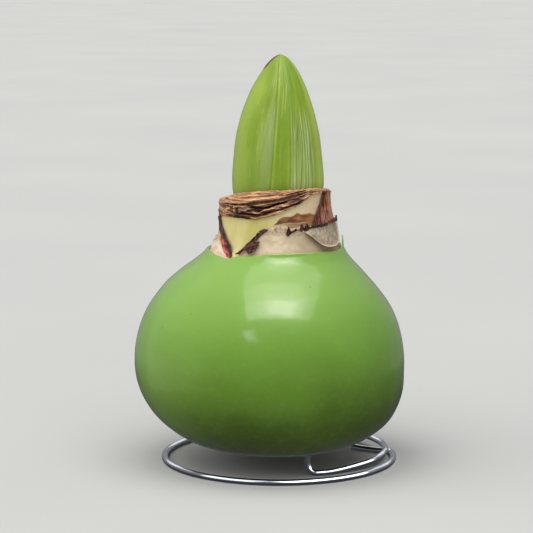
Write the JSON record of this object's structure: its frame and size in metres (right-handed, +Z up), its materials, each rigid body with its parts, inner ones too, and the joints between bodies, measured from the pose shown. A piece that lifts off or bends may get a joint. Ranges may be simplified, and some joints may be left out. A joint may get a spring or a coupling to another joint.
{
  "type": "waxed amaryllis bulb",
  "caption": "Flower bulb in a glossy green wax coat, with a bare cut neck, a pointed bud and a round bent-wire stand whose leg holds it upright.",
  "frame": {"origin": "centre of the footprint of the whole object, on the surface that it stands on; the axis of the bulb's belly passes through it", "axes": "+Z up along the bulb and its bud, -Y to the front that the picture shows, +X to its right"},
  "size_m": [0.0956, 0.0956, 0.1451],
  "materials": {
    "steel_wire": "bright drawn wire",
    "green_wax": "glossy dipped wax, slightly translucent",
    "bulb_flesh": "satin yellow-green to cream flesh",
    "cream_scale": "satin cream flesh",
    "papery_skin": "dry, finely veined",
    "red_brown_skin": "dry, dark red-brown",
    "dark_skin": "dry, dark brown",
    "fibrous_skin": "dry, fibrous brown",
    "orange_skin": "thin, orange-brown",
    "dried_rim_tan": "dry, crumpled tan",
    "dried_rim_grey": "dry, crumpled grey-brown",
    "dried_rim_ochre": "dry, crumpled ochre",
    "stalk_green": "smooth green stalk",
    "bract_green": "smooth leaf with a pale bloom",
    "bract_bright_green": "smooth ribbed leaf"
  },
  "bodies": {
    "root": {"wire_stand": "steel_wire", "wax_coat": "green_wax", "bulb": "bulb_flesh", "outer_scale": "cream_scale", "papery_scale": "papery_skin", "tunic_left": "red_brown_skin", "tunic_front": "dark_skin", "tunic_right": "fibrous_skin", "tunic_torn": "orange_skin", "dried_rim_outer": "dried_rim_tan", "dried_rim_middle": "dried_rim_grey", "dried_rim_inner": "dried_rim_ochre", "flower_stalk": "stalk_green", "spathe_left": "bract_green", "spathe_right": "bract_bright_green"}
  },
  "joints": []
}
